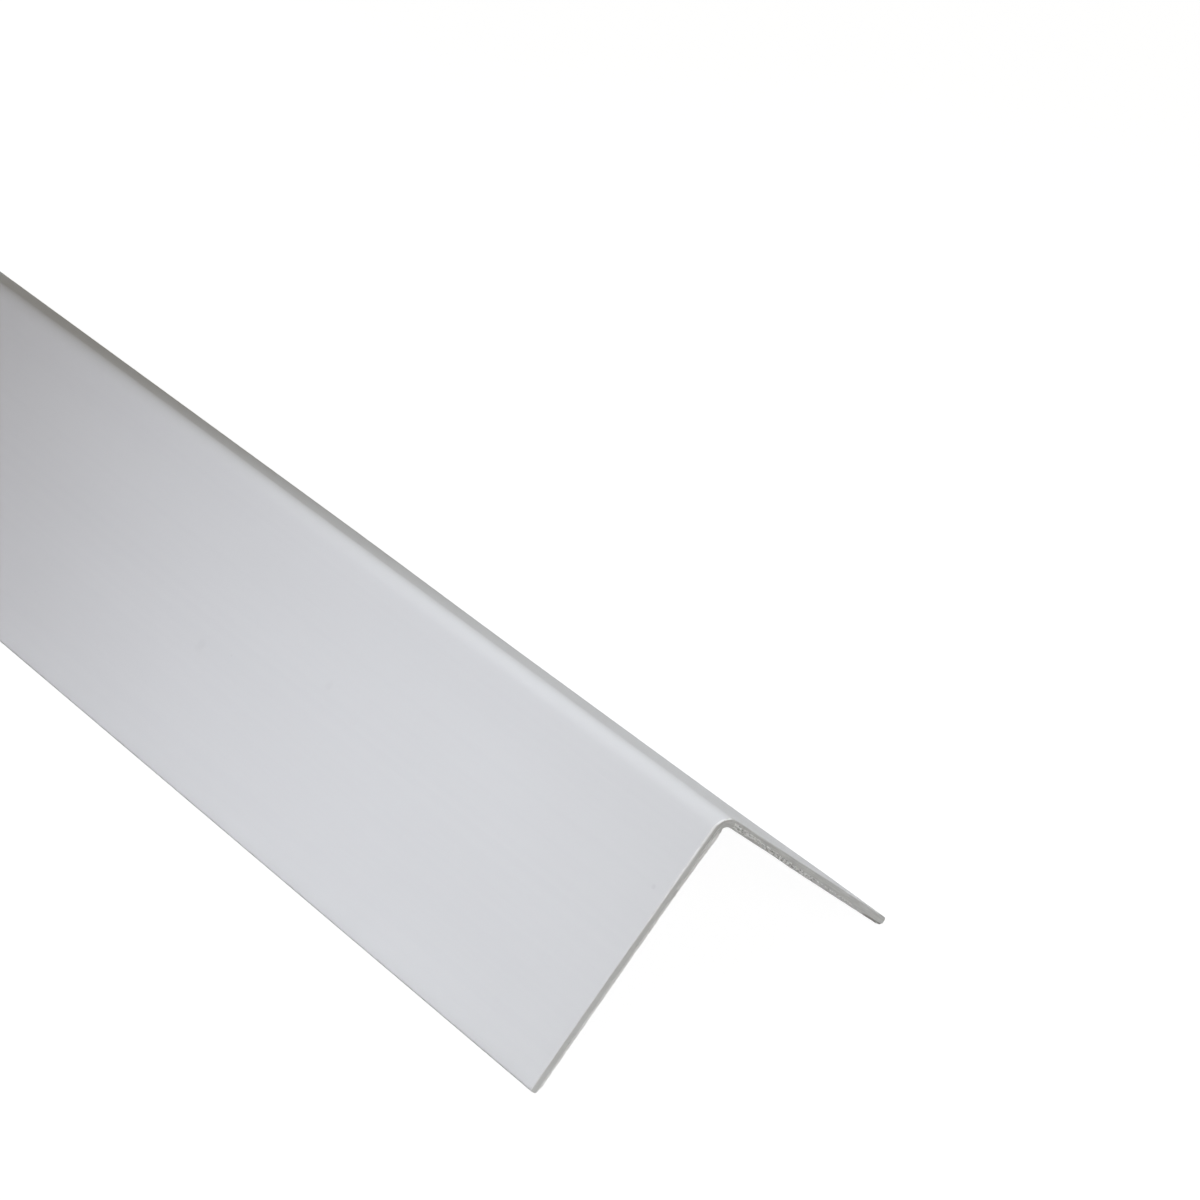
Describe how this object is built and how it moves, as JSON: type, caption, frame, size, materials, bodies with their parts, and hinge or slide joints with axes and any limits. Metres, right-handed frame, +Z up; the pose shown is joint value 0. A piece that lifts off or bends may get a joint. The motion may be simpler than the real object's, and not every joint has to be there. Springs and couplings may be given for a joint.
{
  "type": "corner guard moulding",
  "caption": "Long right-angle strip with equal thin flat legs and a small rounded nose, cut square at its ends, that covers the outside corner of a wall.",
  "frame": {"origin": "floor level, under the nose, at the middle of the strip's length", "axes": "+X along the strip, towards the cut end that the picture shows; +Z up, from the free edges to the nose; the legs spread towards -Y and +Y"},
  "size_m": [1.2, 0.0704, 0.035],
  "materials": {
    "white_pvc": "satin"
  },
  "bodies": {
    "root": {"corner_guard": "white_pvc"}
  },
  "joints": []
}
